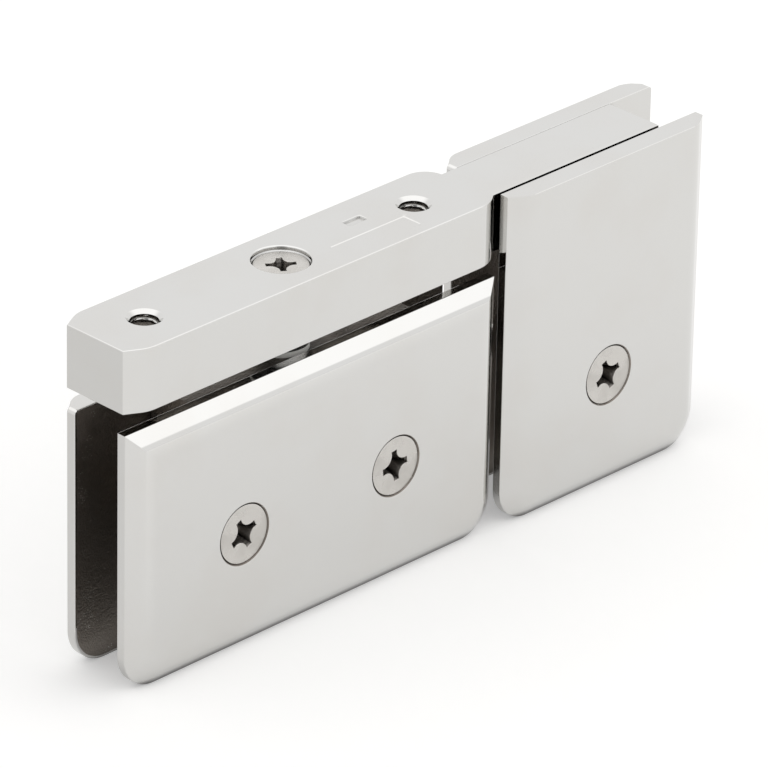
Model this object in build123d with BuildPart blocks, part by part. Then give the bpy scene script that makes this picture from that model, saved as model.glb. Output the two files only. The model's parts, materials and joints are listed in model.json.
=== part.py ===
"""Pivot hinge for a frameless glass shower door, with a clamp for the fixed glass beside the door.

X runs along the hinge, from the door's side to the clamp for the fixed glass. Y points away from the viewer
and Z up. The origin is on the pivot axis, in the top face of the pivot block, which is screwed to a header.
All sizes are in millimetres.
"""
import os
from math import hypot, radians, sqrt, tan

from build123d import *

os.makedirs("parts", exist_ok=True)

# Pivot block
block_left = 44.2  # from the pivot axis to the free end
block_right = 44.9  # from the pivot axis to the rear of the shoulder, where the arm starts
shoulder_overhang = 2.9  # how much further out the front of the shoulder lies, before its rounding
block_depth = 18.3
block_height = 12.2
end_chamfer_length = 4.1
end_chamfer_depth = 2.2
end_corner_blend = 6.0  # radius between these chamfers and the long faces
rear_shoulder_radius = 4.5
front_shoulder_radius = 7.5
edge_break = 0.25
header_hole_spacing = 65.2
header_thread_minor = 5.2  # minor diameter of a 1/4-20 thread
header_hole_mouth = 6.6
header_countersink_angle = 90.0
stamp_panel = (18.3, 4.3)  # plain stamped panel in the top face
stamp_panel_centre = (18.6, -4.55)
stamp_panel_depth = 0.12
stamp_mark = (4.3, 2.1)  # small stamped mark beside the panel
stamp_mark_centre = (20.2, 2.25)
stamp_mark_depth = 0.45

# Arm of the block, which carries the clamp for the fixed glass
arm_length = 43.3
arm_depth = 12.2
arm_centre_y = -0.95
arm_top_bevel_depth = 1.35  # on the arm's upper front edge
arm_top_bevel_height = 0.13
arm_bottom_bevel = 0.9  # on its lower front edge, both ways
arm_gap = 0.75  # from the arm to the clamp's front plate
arm_screw_spacing = 21.0
arm_screw_head = 7.6
arm_screw_mouth = 8.2
arm_screw_diameter = 4.0

# Plates
plate_thickness = 4.3
plate_edge = 1.9  # straight part of the edge, before the bevel
bevel_width = 3.6
bevel_blend = 6.0  # radius between the bevel and the face
plate_corner_radius = 7.0
rear_corner_radius = 1.0  # at the top of the rear plates
door_plate_width = 90.0
door_plate_height = 50.55
door_front_face = 6.4  # from the pivot axis to the front plate's inner face
door_glass_gap = 10.6
top_gap = 3.25  # from the block to the door plates
clamp_plate_width = 50.6
clamp_rear_width = 51.4
clamp_rear_setback = 1.6  # the rear plate starts this much further from the block than the front plate
swing_clearance = 0.7  # from the swinging door plates to the clamp's front plate

# Plate screws, 1/4 in flat heads with a cross recess
screw_diameter = 6.35
screw_head = 11.2
screw_mouth = 11.9
screw_rise = 22.9  # from the plates' bottom edge
door_screw_spacing = 37.2
thread_depth = 3.4  # in the rear plates
countersink_angle = 82.0
head_land = 0.2
screw_tip = 0.6
recess_span_ratio = 0.54  # cross recess, as a share of its screw head
recess_slot_ratio = 0.116
recess_hollow_ratio = 0.16  # radius of the hollow sides between its slots
recess_depth_ratio = 0.24
recess_taper = 8.0
door_screw_turns = (26.0, 7.0)  # how far each recess was turned when its screw was tight
clamp_screw_turn = 22.0
pivot_screw_turn = -35.0

# Pivot screw and pin
pivot_screw_head = 10.0
pivot_screw_mouth = 10.7
pivot_mouth_depth = 0.75  # straight wall above the countersink
pivot_screw_diameter = 4.83
pivot_thread_depth = 5.5
tenon_side = 8.0
tenon_height = 4.0
collar_diameter = 10.4
pin_diameter = 6.0
cam_flat_depth = 0.3
cam_length = 9.0
clip_groove_depth = 0.5
pin_tail = 0.6

# Spring housing, its bearings and its springs
housing_margin = 1.9  # beyond the ears at each end
housing_drop = 1.15  # from the door plates' top edge
housing_inset = 1.2  # let into the rear plate
ear_radius = 6.5
bush_wall = 0.75
upper_bush_length = 5.0
lower_bush_length = 4.0
bush_flange = 0.6
bush_flange_wall = 0.6
bore_wall = 1.0  # between the bearings and the spring bore
spring_bore = 8.1
washer_thickness = 1.0
clip_thickness = 0.7
clip_wall = 1.5
clip_gap_angle = 70.0
plunger_length = 8.0
plunger_wall = 0.9
plunger_pocket = 5.0
spring_wire = 1.0
spring_turns = 7
spring_screw_length = 6.0
spring_screw_inset = 0.5
spring_screw_socket = 4.0  # across the flats
spring_screw_socket_depth = 3.0

# Clearances
running_clearance = 0.05  # round a shaft or plunger, and round a screw's thread
seat_clearance = 0.02  # round a bush in its bore
pocket_clearance = 0.1  # round the housing in the rear plate's pocket
hole_clearance = 0.2  # round a screw that passes through
axial_play = 0.1

# Levels and planes worked out from the sizes above
block_bottom = -block_height
door_top = block_bottom - top_gap
plates_bottom = door_top - door_plate_height
screw_level = plates_bottom + screw_rise
housing_top = door_top - housing_drop
collar_bottom = housing_top + washer_thickness + axial_play
spring_level = housing_top - upper_bush_length - bore_wall - spring_bore / 2
lower_bush_top = spring_level - spring_bore / 2 - bore_wall
lower_flange_top = lower_bush_top - lower_bush_length
clip_top = lower_flange_top - bush_flange - axial_play
pin_end = clip_top - clip_thickness - pin_tail
housing_bottom = pin_end - axial_play
door_rear_face = door_glass_gap - door_front_face
housing_rear_face = door_rear_face + housing_inset
housing_width = door_screw_spacing + 2 * (ear_radius + housing_margin)
arm_front = arm_centre_y - arm_depth / 2
arm_rear = arm_centre_y + arm_depth / 2
clamp_front_face = arm_front - arm_gap
arm_end = block_right + arm_length
shoulder_right = block_right + shoulder_overhang
shoulder_rise = front_shoulder_radius - block_depth / 2 - arm_front
arm_start = shoulder_right - front_shoulder_radius + sqrt(front_shoulder_radius**2 - shoulder_rise**2)
swing_radius = hypot(door_plate_width / 2, door_front_face + plate_edge)
clamp_left = swing_radius + swing_clearance
clamp_screw_x = clamp_left + clamp_plate_width / 2
clamp_plate_height = -plates_bottom
bevel_depth = plate_thickness - plate_edge
pin_radius = pin_diameter / 2
plunger_diameter = spring_bore - 2 * running_clearance
bush_diameter = pin_diameter + 2 * running_clearance + 2 * bush_wall
lower_flange_diameter = bush_diameter + 2 * bush_flange_wall
door_screw_places = [(-door_screw_spacing / 2, screw_level), (door_screw_spacing / 2, screw_level)]
arm_screw_middle = (block_right + arm_end) / 2


def facing_front(y):
    """Plane across Y at y, seen from the front: its x and y are X and Z, and holes in it run towards +Y."""
    return Plane.XZ.offset(-y)


def head_depth(head, mouth):
    """How far the top of a flat head lies below the mouth of the countersink that it sits in."""
    slope = tan(radians(countersink_angle / 2))
    return (mouth / 2 - head / 2 - running_clearance) / slope - head_land


def flat_head_screw(head, diameter, length, turn=0):
    """Countersunk screw with a cross recess, turned by some degrees, along -Z, its head's top on z = 0."""
    radius = diameter / 2
    cone = (head / 2 - radius) / tan(radians(countersink_angle / 2))
    with BuildPart() as screw:
        with BuildSketch(Plane.XZ):
            with BuildLine():
                Polyline(
                    (0, 0),
                    (head / 2, 0),
                    (head / 2, -head_land),
                    (radius, -head_land - cone),
                    (radius, screw_tip - length),
                    (radius - screw_tip, -length),
                    (0, -length),
                    close=True,
                )
            make_face()
        revolve(axis=Axis.Z)
        with BuildSketch() as cross:
            for slot_turn in (turn, turn + 90):
                Rectangle(head * recess_span_ratio, head * recess_slot_ratio, rotation=slot_turn)
            fillet(cross.vertices().sort_by_distance((0, 0, 0))[:4], head * recess_hollow_ratio)
        extrude(amount=-head * recess_depth_ratio, taper=recess_taper, mode=Mode.SUBTRACT)
    return screw.part


def bevelled_plate(width, height, outward, bevelled_top, top_radius=0):
    """Plate with its inner face on y = 0 and the middle of its bottom edge at the origin.

    outward is -1 for a plate that faces the front and 1 for one that faces the rear. A plate without a
    bevelled top is cut square there. Its top corners are rounded off to top_radius, where that is given.
    """
    outermost = 0 if outward < 0 else -1
    innermost = -1 - outermost
    with BuildPart() as plate:
        with BuildSketch(Plane.XZ) as outline:
            Rectangle(width, height, align=(Align.CENTER, Align.MIN))
            fillet(outline.vertices().group_by(Axis.Y)[0], plate_corner_radius)
        extrude(amount=-outward * plate_thickness)
        face = plate.faces().sort_by(Axis.Y)[outermost]
        rim = face.edges() if bevelled_top else face.edges().sort_by(Axis.Z)[:-1]
        chamfer(rim, length=bevel_width, length2=bevel_depth, reference=face)
        face = plate.faces().sort_by(Axis.Y)[outermost]
        rim = face.edges() if bevelled_top else face.edges().sort_by(Axis.Z)[:-1]
        fillet(rim, bevel_blend)
        chamfer(plate.faces().sort_by(Axis.Y)[innermost].edges(), edge_break)
        if not bevelled_top:
            square_edge = plate.faces().sort_by(Axis.Z)[-1]
            chamfer(square_edge.edges().sort_by(Axis.Y)[outermost], edge_break)
        if top_radius:
            with BuildSketch(Plane.XZ) as rounded:
                Rectangle(width, height, align=(Align.CENTER, Align.MIN))
                fillet(rounded.vertices().group_by(Axis.Y)[-1], top_radius)
            extrude(amount=-outward * plate_thickness, mode=Mode.INTERSECT)
    return plate.part


def finish(builder, name):
    """Labels a finished piece and writes it out."""
    builder.part.label = name
    export_step(builder.part, f"parts/{name}.step")


# Pivot block: a bar with blended chamfers at its free end, a rounded shoulder and an arm with bevelled edges
with BuildPart() as pivot_block:
    with BuildSketch() as plan:
        with BuildLine():
            Polyline(
                (-block_left, block_depth / 2 - end_chamfer_depth),
                (-block_left + end_chamfer_length, block_depth / 2),
                (block_right, block_depth / 2),
                (block_right, 0),
                (shoulder_right, 0),
                (shoulder_right, -block_depth / 2),
                (-block_left + end_chamfer_length, -block_depth / 2),
                (-block_left, -block_depth / 2 + end_chamfer_depth),
                close=True,
            )
        make_face()
        for side, shoulder_radius in ((0, front_shoulder_radius), (-1, rear_shoulder_radius)):
            fillet(plan.vertices().group_by(Axis.Y)[side].sort_by(Axis.X)[-1], shoulder_radius)
            fillet(plan.vertices().group_by(Axis.Y)[side].sort_by(Axis.X)[0], end_corner_blend)
        with Locations((0, arm_centre_y)):
            Rectangle(arm_end, arm_depth, align=(Align.MIN, Align.CENTER))
    extrude(amount=-block_height)
    levels = pivot_block.faces().sort_by(Axis.Z)
    chamfer(levels[0].edges() + levels[-1].edges(), edge_break)
    with BuildSketch(Plane.YZ.offset(arm_start)):
        for level, depth, rise in (
            (0, arm_top_bevel_depth, -arm_top_bevel_height),
            (block_bottom, arm_bottom_bevel, arm_bottom_bevel),
        ):
            with BuildLine():
                corner = (arm_front, level)
                Polyline(corner, (arm_front + depth, level), (arm_front, level + rise), close=True)
            make_face()
    extrude(amount=arm_length, mode=Mode.SUBTRACT)
    for size, centre, depth in (
        (stamp_panel, stamp_panel_centre, stamp_panel_depth),
        (stamp_mark, stamp_mark_centre, stamp_mark_depth),
    ):
        with BuildSketch():
            with Locations(centre):
                Rectangle(*size)
        extrude(amount=-depth, mode=Mode.SUBTRACT)
    with GridLocations(header_hole_spacing, 1, 2, 1):
        CounterSinkHole(
            header_thread_minor / 2, header_hole_mouth / 2, counter_sink_angle=header_countersink_angle
        )
    Hole(pivot_screw_mouth / 2, depth=pivot_mouth_depth)
    with Locations((0, 0, -pivot_mouth_depth)):
        CounterSinkHole(
            pivot_screw_diameter / 2 + hole_clearance,
            pivot_screw_mouth / 2,
            counter_sink_angle=countersink_angle,
        )
    with BuildSketch(Plane.XY.offset(block_bottom)):
        Rectangle(tenon_side + 2 * running_clearance, tenon_side + 2 * running_clearance)
    extrude(amount=tenon_height, mode=Mode.SUBTRACT)
    with Locations(facing_front(arm_front)):
        with Locations((arm_screw_middle, block_bottom / 2)):
            with GridLocations(arm_screw_spacing, 1, 2, 1):
                CounterSinkHole(
                    arm_screw_diameter / 2 + hole_clearance,
                    arm_screw_mouth / 2,
                    counter_sink_angle=countersink_angle,
                )
finish(pivot_block, "pivot_block")

# Pivot pin: square tenon, collar, bearing shaft with four cam flats and a groove for the clip
with BuildPart() as pivot_pin:
    with BuildSketch(Plane.XY.offset(block_bottom)):
        Rectangle(tenon_side, tenon_side)
    extrude(amount=tenon_height)
    with BuildSketch(Plane.XY.offset(block_bottom)):
        Circle(collar_diameter / 2)
    extrude(amount=collar_bottom - block_bottom)
    with BuildSketch(Plane.XY.offset(collar_bottom)):
        Circle(pin_radius)
    extrude(amount=pin_end - collar_bottom)
    with BuildSketch(Plane.XY.offset(spring_level - cam_length / 2)):
        Circle(collar_diameter / 2)
        Rectangle(2 * (pin_radius - cam_flat_depth), 2 * (pin_radius - cam_flat_depth), mode=Mode.SUBTRACT)
    extrude(amount=cam_length, mode=Mode.SUBTRACT)
    with BuildSketch(Plane.XY.offset(clip_top + running_clearance)):
        Circle(collar_diameter / 2)
        Circle(pin_radius - clip_groove_depth, mode=Mode.SUBTRACT)
    extrude(amount=-clip_thickness - 2 * running_clearance, mode=Mode.SUBTRACT)
    with Locations((0, 0, block_bottom + tenon_height)):
        Hole(pivot_screw_diameter / 2 + running_clearance, depth=pivot_thread_depth + axial_play)
finish(pivot_pin, "pivot_pin")

# Pivot screw, which draws the pin's tenon up into the block
pivot_head_depth = pivot_mouth_depth + head_depth(pivot_screw_head, pivot_screw_mouth)
pivot_screw_length = block_height - tenon_height + pivot_thread_depth - pivot_head_depth
pivot_screw_blank = flat_head_screw(
    pivot_screw_head, pivot_screw_diameter, pivot_screw_length, pivot_screw_turn
)
with BuildPart() as pivot_screw:
    with Locations((0, 0, -pivot_head_depth)):
        add(pivot_screw_blank)
finish(pivot_screw, "pivot_screw")

# Spring clip in the pin's groove, open on one side
with BuildPart() as retaining_clip:
    with BuildSketch(Plane.XY.offset(clip_top)):
        Circle(pin_radius - clip_groove_depth + running_clearance + clip_wall)
        Circle(pin_radius - clip_groove_depth + running_clearance, mode=Mode.SUBTRACT)
        with BuildLine():
            PolarLine((0, 0), 2 * pin_diameter, -clip_gap_angle / 2)
            PolarLine((0, 0), 2 * pin_diameter, clip_gap_angle / 2)
            Line(
                Vector(2 * pin_diameter, 0).rotate(Axis.Z, -clip_gap_angle / 2),
                Vector(2 * pin_diameter, 0).rotate(Axis.Z, clip_gap_angle / 2),
            )
        make_face(mode=Mode.SUBTRACT)
    extrude(amount=-clip_thickness)
finish(retaining_clip, "retaining_clip")

# Clamp for the fixed glass: a rear plate screwed to the arm, and a front plate drawn up by one screw
clamp_rear_blank = bevelled_plate(
    clamp_rear_width, clamp_plate_height, 1, bevelled_top=False, top_radius=rear_corner_radius
)
clamp_rear_middle = clamp_left + clamp_rear_setback + clamp_rear_width / 2
with BuildPart() as clamp_rear_plate:
    with Locations((clamp_rear_middle, arm_rear, plates_bottom)):
        add(clamp_rear_blank)
    with Locations(facing_front(arm_rear)):
        with Locations((clamp_screw_x, screw_level)):
            Hole(screw_diameter / 2 + running_clearance, depth=thread_depth + axial_play)
        with Locations((arm_screw_middle, block_bottom / 2)):
            with GridLocations(arm_screw_spacing, 1, 2, 1):
                Hole(arm_screw_diameter / 2 + running_clearance, depth=thread_depth + axial_play)
finish(clamp_rear_plate, "clamp_rear_plate")

clamp_front_blank = bevelled_plate(clamp_plate_width, clamp_plate_height, -1, bevelled_top=False)
with BuildPart() as clamp_front_plate:
    with Locations((clamp_screw_x, clamp_front_face, plates_bottom)):
        add(clamp_front_blank)
    with Locations(facing_front(clamp_front_face - plate_thickness)):
        with Locations((clamp_screw_x, screw_level)):
            CounterSinkHole(
                screw_diameter / 2 + hole_clearance, screw_mouth / 2, counter_sink_angle=countersink_angle
            )
finish(clamp_front_plate, "clamp_front_plate")

plate_head_depth = head_depth(screw_head, screw_mouth)
clamp_screw_head_y = clamp_front_face - plate_thickness + plate_head_depth
clamp_screw_length = arm_rear + thread_depth - clamp_screw_head_y
clamp_screw_blank = flat_head_screw(screw_head, screw_diameter, clamp_screw_length, clamp_screw_turn)
with BuildPart() as clamp_screw:
    with Locations(facing_front(clamp_screw_head_y)):
        with Locations((clamp_screw_x, screw_level)):
            add(clamp_screw_blank)
finish(clamp_screw, "clamp_screw")

arm_screw_head_y = arm_front + head_depth(arm_screw_head, arm_screw_mouth)
arm_screw_length = arm_rear + thread_depth - arm_screw_head_y
arm_screw_blank = flat_head_screw(arm_screw_head, arm_screw_diameter, arm_screw_length)
with BuildPart() as arm_screws:
    with Locations(facing_front(arm_screw_head_y)):
        with Locations((arm_screw_middle, block_bottom / 2)):
            with GridLocations(arm_screw_spacing, 1, 2, 1):
                add(arm_screw_blank)
finish(arm_screws, "arm_screws")

# Door plates, which grip the glass either side of the spring housing
door_front_blank = bevelled_plate(door_plate_width, door_plate_height, -1, bevelled_top=True)
with BuildPart() as door_front_plate:
    with Locations((0, -door_front_face, plates_bottom)):
        add(door_front_blank)
    with Locations(facing_front(-door_front_face - plate_thickness)):
        with Locations(*door_screw_places):
            CounterSinkHole(
                screw_diameter / 2 + hole_clearance, screw_mouth / 2, counter_sink_angle=countersink_angle
            )
finish(door_front_plate, "door_front_plate")

door_rear_blank = bevelled_plate(
    door_plate_width, door_plate_height, 1, bevelled_top=False, top_radius=rear_corner_radius
)
with BuildPart() as door_rear_plate:
    with Locations((0, door_rear_face, plates_bottom)):
        add(door_rear_blank)
    with BuildSketch(facing_front(door_rear_face)):
        with Locations((0, housing_bottom - pocket_clearance)):
            Rectangle(
                housing_width + 2 * pocket_clearance,
                housing_top - housing_bottom + pocket_clearance + housing_drop,
                align=(Align.CENTER, Align.MIN),
            )
    extrude(amount=-housing_inset, mode=Mode.SUBTRACT)
    with Locations(facing_front(door_rear_face)):
        with Locations(*door_screw_places):
            Hole(screw_diameter / 2 + running_clearance, depth=thread_depth + axial_play)
finish(door_rear_plate, "door_rear_plate")

door_screw_head_y = -door_front_face - plate_thickness + plate_head_depth
door_screw_length = door_rear_face + thread_depth - door_screw_head_y
with BuildPart() as door_screws:
    for place, turn in zip(door_screw_places, door_screw_turns):
        door_screw_blank = flat_head_screw(screw_head, screw_diameter, door_screw_length, turn)
        with Locations(facing_front(door_screw_head_y)):
            with Locations(place):
                add(door_screw_blank)
finish(door_screws, "door_screws")

# Spring housing: a block bored across for the springs and down for the pin, with two ears for the door screws
with BuildPart() as spring_housing:
    with BuildSketch(facing_front(housing_rear_face)):
        with Locations((0, housing_top)):
            Rectangle(housing_width, housing_top - housing_bottom, align=(Align.CENTER, Align.MAX))
    extrude(amount=housing_rear_face + door_front_face)
    with BuildSketch(facing_front(door_rear_face)):
        with Locations(*door_screw_places):
            Circle(ear_radius)
            Rectangle(2 * ear_radius, housing_top - screw_level, align=(Align.CENTER, Align.MIN))
    extrude(amount=door_glass_gap)
    with Locations(facing_front(-door_front_face)):
        with Locations(*door_screw_places):
            Hole(screw_diameter / 2 + hole_clearance)
    with BuildSketch(Plane.YZ.offset(-housing_width / 2)):
        with Locations((0, spring_level)):
            Circle(spring_bore / 2)
    extrude(amount=housing_width, mode=Mode.SUBTRACT)
    with Locations((0, 0, housing_top)):
        Hole(pin_radius + hole_clearance)
        Hole(bush_diameter / 2 + seat_clearance, depth=upper_bush_length)
    with BuildSketch(Plane.XY.offset(housing_bottom)):
        Circle(bush_diameter / 2 + seat_clearance)
    extrude(amount=lower_bush_top - housing_bottom, mode=Mode.SUBTRACT)
    with BuildSketch(Plane.XY.offset(housing_bottom)):
        Circle(lower_flange_diameter / 2 + seat_clearance)
    extrude(amount=lower_flange_top - housing_bottom, mode=Mode.SUBTRACT)
finish(spring_housing, "spring_housing")

# Bushes that the pin turns in, and the washer that carries the block's weight or the door's
with BuildPart() as upper_bush:
    with BuildSketch(Plane.XY.offset(housing_top)):
        Circle(bush_diameter / 2)
        Circle(pin_radius + running_clearance, mode=Mode.SUBTRACT)
    extrude(amount=-upper_bush_length)
finish(upper_bush, "upper_bush")

with BuildPart() as lower_bush:
    with BuildSketch(Plane.XY.offset(lower_bush_top)):
        Circle(bush_diameter / 2)
    extrude(amount=-lower_bush_length)
    with BuildSketch(Plane.XY.offset(lower_flange_top)):
        Circle(lower_flange_diameter / 2)
    extrude(amount=-bush_flange)
    with Locations((0, 0, lower_bush_top)):
        Hole(pin_radius + running_clearance)
finish(lower_bush, "lower_bush")

with BuildPart() as thrust_washer:
    with BuildSketch(Plane.XY.offset(housing_top)):
        Circle(collar_diameter / 2)
        Circle(pin_radius + running_clearance, mode=Mode.SUBTRACT)
    extrude(amount=washer_thickness)
finish(thrust_washer, "thrust_washer")

# Plungers and springs, one of each on either side of the pin, and the socket screws that hold the springs
plunger_nose = pin_radius + running_clearance
spring_start = plunger_nose + plunger_length - plunger_pocket + running_clearance
spring_end = housing_width / 2 - spring_screw_inset - spring_screw_length - running_clearance
spring_radius = (plunger_diameter - 2 * plunger_wall - spring_wire) / 2 - running_clearance
coil_length = spring_end - spring_start - spring_wire
for side, sign in (("left", -1), ("right", 1)):
    with BuildPart() as plunger:
        with BuildSketch(Plane.YZ.offset(sign * plunger_nose)):
            with Locations((0, spring_level)):
                Circle(plunger_diameter / 2)
        extrude(amount=sign * plunger_length)
        with BuildSketch(Plane.YZ.offset(sign * (plunger_nose + plunger_length))):
            with Locations((0, spring_level)):
                Circle(plunger_diameter / 2 - plunger_wall)
        extrude(amount=-sign * plunger_pocket, mode=Mode.SUBTRACT)
    finish(plunger, f"{side}_plunger")

    with BuildPart() as spring:
        with BuildLine() as coil:
            Helix(
                coil_length / spring_turns,
                coil_length,
                spring_radius,
                center=(sign * (spring_start + spring_wire / 2), 0, spring_level),
                direction=(sign, 0, 0),
            )
        with BuildSketch(Plane(coil.line @ 0, z_dir=coil.line % 0)):
            Circle(spring_wire / 2)
        sweep(is_frenet=True)
    finish(spring, f"{side}_spring")

with BuildPart() as spring_screws:
    for sign in (-1, 1):
        outer_end = sign * (housing_width / 2 - spring_screw_inset)
        with BuildSketch(Plane.YZ.offset(outer_end)):
            with Locations((0, spring_level)):
                Circle(plunger_diameter / 2)
        extrude(amount=-sign * spring_screw_length)
        with BuildSketch(Plane.YZ.offset(outer_end)):
            with Locations((0, spring_level)):
                RegularPolygon(spring_screw_socket / sqrt(3), 6)
        extrude(amount=-sign * spring_screw_socket_depth, mode=Mode.SUBTRACT)
finish(spring_screws, "spring_screws")
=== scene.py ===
"""Studio picture of a pivot shower door hinge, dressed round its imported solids.

The plates, the pivot block and the visible screws are made again as fine meshes in the place of their
solids, with softened edges, cut threads and cross recesses. The pieces inside keep their solids and get
finishes of their own. The hinge is measured in millimetres, and its finishes and the studio in metres.
"""

import json
import logging
import math
from collections.abc import Sequence
from dataclasses import dataclass, field, replace
from enum import Enum, IntEnum

import bmesh
import bpy
import numpy as np
from mathutils import Matrix, Vector
from mathutils.geometry import delaunay_2d_cdt


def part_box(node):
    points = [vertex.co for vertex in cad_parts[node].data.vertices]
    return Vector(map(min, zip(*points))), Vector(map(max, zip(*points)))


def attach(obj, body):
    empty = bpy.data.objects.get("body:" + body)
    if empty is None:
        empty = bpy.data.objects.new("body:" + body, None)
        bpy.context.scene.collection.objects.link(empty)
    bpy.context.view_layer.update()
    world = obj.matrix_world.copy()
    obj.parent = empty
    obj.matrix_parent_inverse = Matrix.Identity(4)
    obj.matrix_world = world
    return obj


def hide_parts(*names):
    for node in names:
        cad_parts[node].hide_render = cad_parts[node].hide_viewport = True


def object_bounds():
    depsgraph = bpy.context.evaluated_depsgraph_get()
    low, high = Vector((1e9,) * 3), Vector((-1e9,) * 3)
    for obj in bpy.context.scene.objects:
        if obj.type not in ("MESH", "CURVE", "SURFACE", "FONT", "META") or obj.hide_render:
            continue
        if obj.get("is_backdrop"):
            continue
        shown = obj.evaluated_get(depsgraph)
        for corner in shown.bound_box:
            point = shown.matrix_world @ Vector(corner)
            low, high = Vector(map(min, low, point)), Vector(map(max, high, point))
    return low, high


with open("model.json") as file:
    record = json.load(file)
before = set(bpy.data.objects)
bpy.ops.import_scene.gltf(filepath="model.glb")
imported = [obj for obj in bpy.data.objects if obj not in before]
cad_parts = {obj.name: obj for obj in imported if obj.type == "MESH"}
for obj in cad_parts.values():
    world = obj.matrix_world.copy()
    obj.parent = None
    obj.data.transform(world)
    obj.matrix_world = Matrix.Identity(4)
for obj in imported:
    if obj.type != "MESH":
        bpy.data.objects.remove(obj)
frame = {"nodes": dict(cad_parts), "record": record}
log = logging.getLogger("hinge_scene")

Point = tuple[float, float]
Place = tuple[float, float, float]
Colour = tuple[float, float, float, float]
Loop = list[int]
Node = bpy.types.Node
Socket = bpy.types.NodeSocket
Surface = tuple[Socket, Socket, Socket]  # height of the relief, colour and roughness

MM = 0.001
EXACT = 1e-6
WELD_DISTANCE = 1e-4 * MM
CIRCLE_STEPS = 96
THREAD_STEPS = 10  # in one turn
FLAT_FACE_WEIGHT = 100
SHARP_ANGLE = math.radians(28.0)
COUNTERSINK_SLOPE = math.tan(math.radians(82.0 / 2))


class Coat(IntEnum):
    """Which of a piece's finishes a face takes. The darker one is the skin of a casting, and painted
    shade in the screws' recesses and deep in the header holes.
    """

    POLISHED = 0
    DARKER = 1


class Facing(IntEnum):
    """Side of the glass that a plate stands on, as a direction along Y."""

    FRONT = -1
    REAR = 1


class Across(Enum):
    """Plane that an outline lies in, as the axes of its two directions and of its height."""

    FLOOR_PLAN = (0, 1, 2)
    FRONT_VIEW = (0, 2, 1)


class Body(str, Enum):
    """Rigid bodies of the hinge."""

    HEADER = "header_side"
    DOOR = "door_side"


class Slot(str, Enum):
    """Material slots of the record."""

    CHROME = "polished_chrome"
    SCREW = "screw_steel"


def node_box(node: str) -> tuple[Vector, Vector]:
    """Gives the box of a solid.

    Args:
        node: name of the solid.

    Returns:
        Its lowest and highest corner, in millimetres.
    """
    low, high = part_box(node)
    return low / MM, high / MM


def screw_places(node: str) -> list[Point]:
    """Finds the axes of the screws of a node, which stand along Y in one row.

    Args:
        node: name of the screws' solids.

    Returns:
        X and Z of each screw, from left to right.
    """
    low, high = node_box(node)
    head = high.z - low.z
    level = (low.z + high.z) / 2
    first, last = low.x + head / 2, high.x - head / 2
    return [(first, level)] if last - first < head / 2 else [(first, level), (last, level)]


def hand_over(piece: bpy.types.Object, node: str, body: Body) -> None:
    """Puts a finished piece in the place of its solid and reports it.

    Args:
        piece: the piece.
        node: the solid that it stands for.
        body: the body that it rides on.
    """
    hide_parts(node)
    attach(piece, body.value)
    log.info("%s for %s, %d faces", piece.name, node, len(piece.data.polygons))


def arc(centre: Point, radius: float, start: float, end: float, steps: int) -> list[Point]:
    """Divides an arc into even steps.

    Args:
        centre: middle of the arc.
        radius: its radius.
        start: angle of its first point, in degrees.
        end: angle of its last point, in degrees.
        steps: number of steps.

    Returns:
        The points of the arc, both ends among them.
    """
    angles = np.radians(np.linspace(start, end, steps + 1))
    return [(centre[0] + radius * math.cos(a), centre[1] + radius * math.sin(a)) for a in angles]


def circle(centre: Point, radius: float, steps: int = CIRCLE_STEPS) -> list[Point]:
    """Divides a circle into even steps, from the side of +x on.

    Args:
        centre: middle of the circle.
        radius: its radius.
        steps: number of steps.

    Returns:
        The points of the circle.
    """
    return arc(centre, radius, 0.0, 360.0, steps)[:-1]


def rounded_rectangle(centre: Point, size: Point, radius: float, steps: int = 4) -> list[Point]:
    """Draws a rectangle with rounded corners.

    Args:
        centre: middle of the rectangle.
        size: its width and height.
        radius: radius of its corners.
        steps: steps in each corner.

    Returns:
        The points of the outline, against the clock.
    """
    outline: list[Point] = []
    for quarter, (sign_x, sign_y) in enumerate(((1, 1), (-1, 1), (-1, -1), (1, -1))):
        corner = (
            centre[0] + sign_x * (size[0] / 2 - radius),
            centre[1] + sign_y * (size[1] / 2 - radius),
        )
        outline += arc(corner, radius, 90.0 * quarter, 90.0 * quarter + 90.0, steps)
    return outline


def soften(corners: Sequence[Place], steps: int = 6) -> list[Point]:
    """Rounds the corners of an open path.

    Args:
        corners: x, y and rounding radius of each corner. A radius of nought keeps the corner sharp.
        steps: steps in each rounding.

    Returns:
        The points of the path.
    """
    path: list[Point] = []
    for index, (x, y, radius) in enumerate(corners):
        if radius == 0.0:
            path.append((x, y))
            continue
        here = Vector((x, y))
        before = (Vector(corners[index - 1][:2]) - here).normalized()
        after = (Vector(corners[index + 1][:2]) - here).normalized()
        half = before.angle(after) / 2
        middle = here + (before + after).normalized() * (radius / math.sin(half))
        first = here + before * (radius / math.tan(half)) - middle
        last = here + after * (radius / math.tan(half)) - middle
        start = math.degrees(math.atan2(first.y, first.x))
        turn = math.degrees(math.atan2(last.y, last.x)) - start
        turn = (turn + 180.0) % 360.0 - 180.0
        path += arc((middle.x, middle.y), radius, start, start + turn, steps)
    return path


def inset(outline: Sequence[Point], distances: Sequence[float]) -> list[Point]:
    """Moves each edge of a closed outline inwards by its own distance.

    Args:
        outline: points of the outline, against the clock.
        distances: distance of the edge that starts at each point.

    Returns:
        The points where the moved edges meet.
    """
    points = np.array(outline, float)
    runs = np.roll(points, -1, axis=0) - points
    runs /= np.linalg.norm(runs, axis=1)[:, None]
    normals = np.stack([-runs[:, 1], runs[:, 0]], axis=1)
    moved: list[Point] = []
    for index, point in enumerate(points):
        pair = np.array([normals[index - 1], normals[index]])
        reach = np.array([distances[index - 1], distances[index]])
        bent = abs(np.linalg.det(pair)) > EXACT
        shift = np.linalg.solve(pair, reach) if bent else pair[1] * reach[1]
        moved.append((float(point[0] + shift[0]), float(point[1] + shift[1])))
    return moved


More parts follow.
